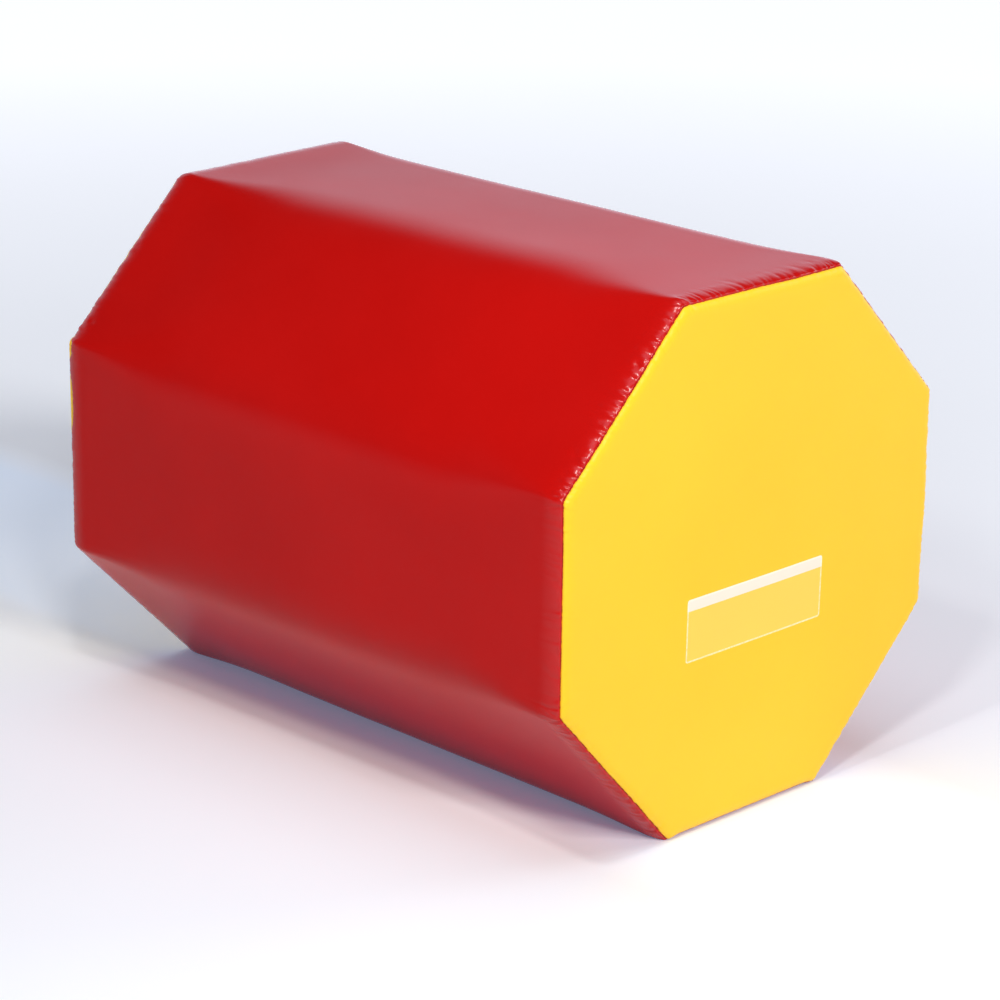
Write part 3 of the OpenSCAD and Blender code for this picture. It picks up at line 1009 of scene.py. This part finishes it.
def flap(red):
    """The doubled vinyl flap, from its sewn strip over the fold and down over the zip."""
    strip_low, strip_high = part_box("flap_sewn_strip")
    flap_low, flap_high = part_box("zip_flap")
    hinge = next(j for j in frame["joints"] if j["name"] == "flap_lift")["pos_m"]
    hinge_y, hinge_z = hinge[1], hinge[2]
    thick = strip_high.y - strip_low.y
    bow = flap_high.y - thick / 2 - hinge_y
    drop = hinge_z - flap_low.z - 0.5 * thick
    radius = (drop * drop / 4 + bow * bow) / (2 * bow)
    half_angle = math.asin(drop / 2 / radius)
    line = [(strip_low.y + thick / 2, z) for z in np.linspace(strip_high.z - 0.4 * MM, strip_low.z, 8)]
    for i in range(33):
        a = half_angle * (1 - 2 * i / 32)
        y = hinge_y + bow - radius + radius * math.cos(a)
        line.append((y, hinge_z - drop / 2 + radius * math.sin(a)))
    line = np.array(line)
    # Take the hard corner out of the fold
    for _ in range(3):
        line[7:12] = (line[6:11] + 2 * line[7:12] + line[8:13]) / 4
    tangent = np.gradient(line, axis=0)
    tangent /= np.linalg.norm(tangent, axis=1)[:, None]
    normal = np.stack([-tangent[:, 1], tangent[:, 0]], -1)
    xs = np.linspace(strip_low.x, strip_high.x, 180)
    share = np.clip((hinge_z - line[:, 1]) / drop, 0, 1)
    front, rear = [], []
    for x in xs:
        wave = 0.5 * MM * math.sin(x * 47) + 0.35 * MM * math.sin(x * 91 + 1)
        lift = np.maximum(wave, -0.1 * MM) * share ** 2
        end_taper = 1 - 0.5 * math.exp(-min(x - xs[0], xs[-1] - x) / (1.0 * MM))
        half = np.full(len(line), thick / 2 * end_taper)
        half[0] *= 0.5
        half[-1] *= 0.5
        centre = line + normal * lift[:, None]
        for store, sign in ((front, 1), (rear, -1)):
            p = centre + sign * normal * half[:, None]
            store.append([(x, y, z) for y, z in p])
    front, rear = np.array(front), np.array(rear)
    if front[0, 20, 1] < rear[0, 20, 1]:
        front, rear = rear, front
    rows, cols = front.shape[:2]
    points = np.concatenate([front.reshape(-1, 3), rear.reshape(-1, 3)])
    n = rows * cols
    faces = grid_faces(rows, cols)
    faces += [tuple(reversed([i + n for i in f])) for f in grid_faces(rows, cols)]
    rim = list(range(cols)) + [r * cols + cols - 1 for r in range(1, rows)]
    rim += [(rows - 1) * cols + c for c in range(cols - 2, -1, -1)]
    rim += [r * cols for r in range(rows - 2, 0, -1)]
    faces += [(a, a + n, b + n, b) for a, b in zip(rim, rim[1:] + rim[:1])]
    obj = add_object("zip_cover_flap", points, faces, red)
    bm = bmesh.new()
    bm.from_mesh(obj.data)
    bmesh.ops.recalc_face_normals(bm, faces=bm.faces)
    bm.to_mesh(obj.data)
    bm.free()
    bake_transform(obj)
    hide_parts("zip_flap", "flap_sewn_strip")
    stitch_low, stitch_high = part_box("flap_topstitching")
    parts = []
    for z in (stitch_low.z + 0.3 * MM, stitch_high.z - 0.3 * MM):
        parts += stitch_row(z, stitch_low.x, stitch_high.x, strip_high.y + 0.05 * MM)
    add_thread("flap_stitches", parts, "flap_topstitching")


# ---- stage, light and camera ----

CAMERA_AT = (3.4742, -3.5147, 1.9597)
CAMERA_LENS = 127.8
CAMERA_AZIMUTH, CAMERA_ELEVATION, CAMERA_ROLL = 44.51, 18.21, 1.07


def place_camera():
    azimuth, elevation, roll = map(math.radians, (CAMERA_AZIMUTH, CAMERA_ELEVATION, CAMERA_ROLL))
    back = Vector((math.sin(azimuth) * math.cos(elevation), -math.cos(azimuth) * math.cos(elevation),
                   math.sin(elevation)))
    right = Vector((math.cos(azimuth), math.sin(azimuth), 0))
    up = back.cross(right)
    right, up = (right * math.cos(roll) + up * math.sin(roll), up * math.cos(roll) - right * math.sin(roll))
    data = bpy.data.cameras.new("camera")
    data.lens = CAMERA_LENS
    data.sensor_width = 36
    data.clip_end = 200
    camera = new_object("camera", data)
    turn = Matrix((right, up, back)).transposed().to_4x4()
    camera.matrix_world = Matrix.Translation(CAMERA_AT) @ turn
    bpy.context.scene.camera = camera


def area_light(name, at, aim, size, power):
    data = bpy.data.lights.new(name, "AREA")
    data.shape = "RECTANGLE"
    data.size, data.size_y = size
    data.energy = power
    light = new_object(name, data)
    light.location = at
    light.rotation_euler = (Vector(aim) - Vector(at)).to_track_quat("-Z", "Y").to_euler()
    light.visible_camera = False


def sun_light(name, towards, spread, strength):
    """A distant light: towards points from the object to it, and spread is how wide it looks in degrees."""
    data = bpy.data.lights.new(name, "SUN")
    data.angle = math.radians(spread)
    data.energy = strength
    light = new_object(name, data)
    light.rotation_euler = Vector(towards).to_track_quat("Z", "Y").to_euler()


def make_floor():
    floor = Shader("pale_floor")
    floor.colour(floor.ramp(floor.noise(0.6), (0.88, 0.89, 0.90), (0.90, 0.91, 0.92)))
    floor.rough(0.9)
    floor.surface.inputs["Specular IOR Level"].default_value = 0.0
    # The sweep brightens with distance, as a lit studio background does
    reach = floor.add("ShaderNodeVectorMath", operation="LENGTH")
    floor.join(floor.place, reach.inputs[0])
    glow = floor.span(reach.outputs["Value"], *FLOOR_GLOW, at=FLOOR_GLOW_AT)
    # Painted light: a bluish glow in a strip along the barrel's line lightens the shade under the barrel, and
    # with it the floor that the lower front side reflects
    split = floor.add("ShaderNodeSeparateXYZ")
    floor.join(floor.place, split.inputs[0])
    off_axis = floor.math("ABSOLUTE", split.outputs["Y"])
    under = floor.span(off_axis, 1.0, 0.0, at=FLOOR_UNDER_AT)
    glow_colour = floor.mix(under, FLOOR_GLOW_COLOUR, FLOOR_GLOW_COLOUR_UNDER)
    floor.join(glow_colour, floor.surface.inputs["Emission Color"])
    under_glow = floor.math("MULTIPLY", under, FLOOR_GLOW_UNDER)
    floor.join(floor.math("ADD", glow, under_glow), floor.surface.inputs["Emission Strength"])
    ticks = np.linspace(-FLOOR_REACH, FLOOR_REACH, 9)
    points = [(x, y, -0.5 * MM) for x in ticks for y in ticks]
    faces = [f[::-1] for f in grid_faces(len(ticks), len(ticks))]
    add_object("floor", points, faces, floor.material)


def make_world():
    """A pale band at the horizon, brightest behind the barrel, a dark ceiling, and a soft panel overhead."""
    world = bpy.data.worlds.new("studio")
    world.use_nodes = True
    tree = world.node_tree
    place = tree.nodes.new("ShaderNodeTexCoord")
    split = tree.nodes.new("ShaderNodeSeparateXYZ")
    tree.links.new(place.outputs["Generated"], split.inputs[0])

    def node(kind, operation, *values):
        n = tree.nodes.new(kind)
        n.operation = operation
        for socket, value in zip(n.inputs, values):
            if isinstance(value, (int, float, tuple)):
                socket.default_value = value
            else:
                tree.links.new(value, socket)
        return n

    def span(source, at, to):
        n = tree.nodes.new("ShaderNodeMapRange")
        n.interpolation_type = "SMOOTHSTEP"
        n.inputs["From Min"].default_value, n.inputs["From Max"].default_value = at
        n.inputs["To Min"].default_value, n.inputs["To Max"].default_value = to
        tree.links.new(source, n.inputs["Value"])
        return n.outputs["Result"]

    height = split.outputs["Z"]
    direction = place.outputs["Generated"]
    behind = node("ShaderNodeVectorMath", "DOT_PRODUCT", direction, (*BEHIND, 0.0)).outputs["Value"]
    wall = span(behind, (0.1, 0.8), (WALL_DIM, WALL_BRIGHT))
    band = span(height, BAND_FADE, (1, 0))
    haze = span(height, HAZE_FADE, (HAZE, 0))
    overhead = span(height, PANEL_EDGE, (0, PANEL_BRIGHT))
    total = node("ShaderNodeMath", "MULTIPLY_ADD", wall, band, CEILING).outputs[0]
    total = node("ShaderNodeMath", "ADD", total, haze).outputs[0]
    total = node("ShaderNodeMath", "ADD", total, overhead).outputs[0]
    background = tree.nodes["Background"]
    background.inputs["Color"].default_value = (*WORLD_COLOUR, 1)
    tree.links.new(total, background.inputs["Strength"])
    bpy.context.scene.world = world


def make_lights():
    sun_light("softbox", *SOFTBOX)
    for name, settings in AREA_LIGHTS.items():
        area_light(name, *settings)
    bpy.context.scene.view_settings.view_transform = "Standard"


# ---- the whole barrel ----


def finish_cad_nodes():
    """Materials of the CAD pieces that are shown as they are."""
    for i in range(1, 7):
        set_material(f"core_slab_{i}", MATERIALS["soft_foam"])
    for node in ("zip_tape_upper", "zip_tape_lower"):
        set_material(node, MATERIALS["zip_tape"])


def set_material(node, material):
    obj = frame["nodes"][node]
    obj.data.materials.clear()
    obj.data.materials.append(material)


red, yellow = make_materials()
place_camera()
make_floor()
make_world()
make_lights()
side_sheet(red)
panel("vinyl_end_panel_right", yellow, 1, "end_panel_right")
panel("vinyl_end_panel_left", yellow, -1, "end_panel_left")
seam_stitches("seam_stitches_right", 1, "seam_thread_right")
seam_stitches("seam_stitches_left", -1, "seam_thread_left")
for k in range(SIDES):
    foam_board(k)
finish_cad_nodes()
coil("coil_upper", "zip_coil_upper", 1)
coil("coil_lower", "zip_coil_lower", -1)
zip_topstitching()
end_tab("slot_tab_right", "zip_end_tab_right", red)
end_tab("slot_tab_left", "zip_end_tab_left", red)
for name, node, width, body in (("stops_closed_end", "zip_closed_stops", 0.5, "barrel"),
                                ("stop_open_end", "zip_open_stop", 0.5, "barrel"),
                                ("slider_body", "zip_slider", 0.45, "slider"),
                                ("pull", "zip_pull", 0.4, "pull_tab")):
    bevelled_copy(name, node, width * MM, MATERIALS["zip_metal"], body)
flap(red)
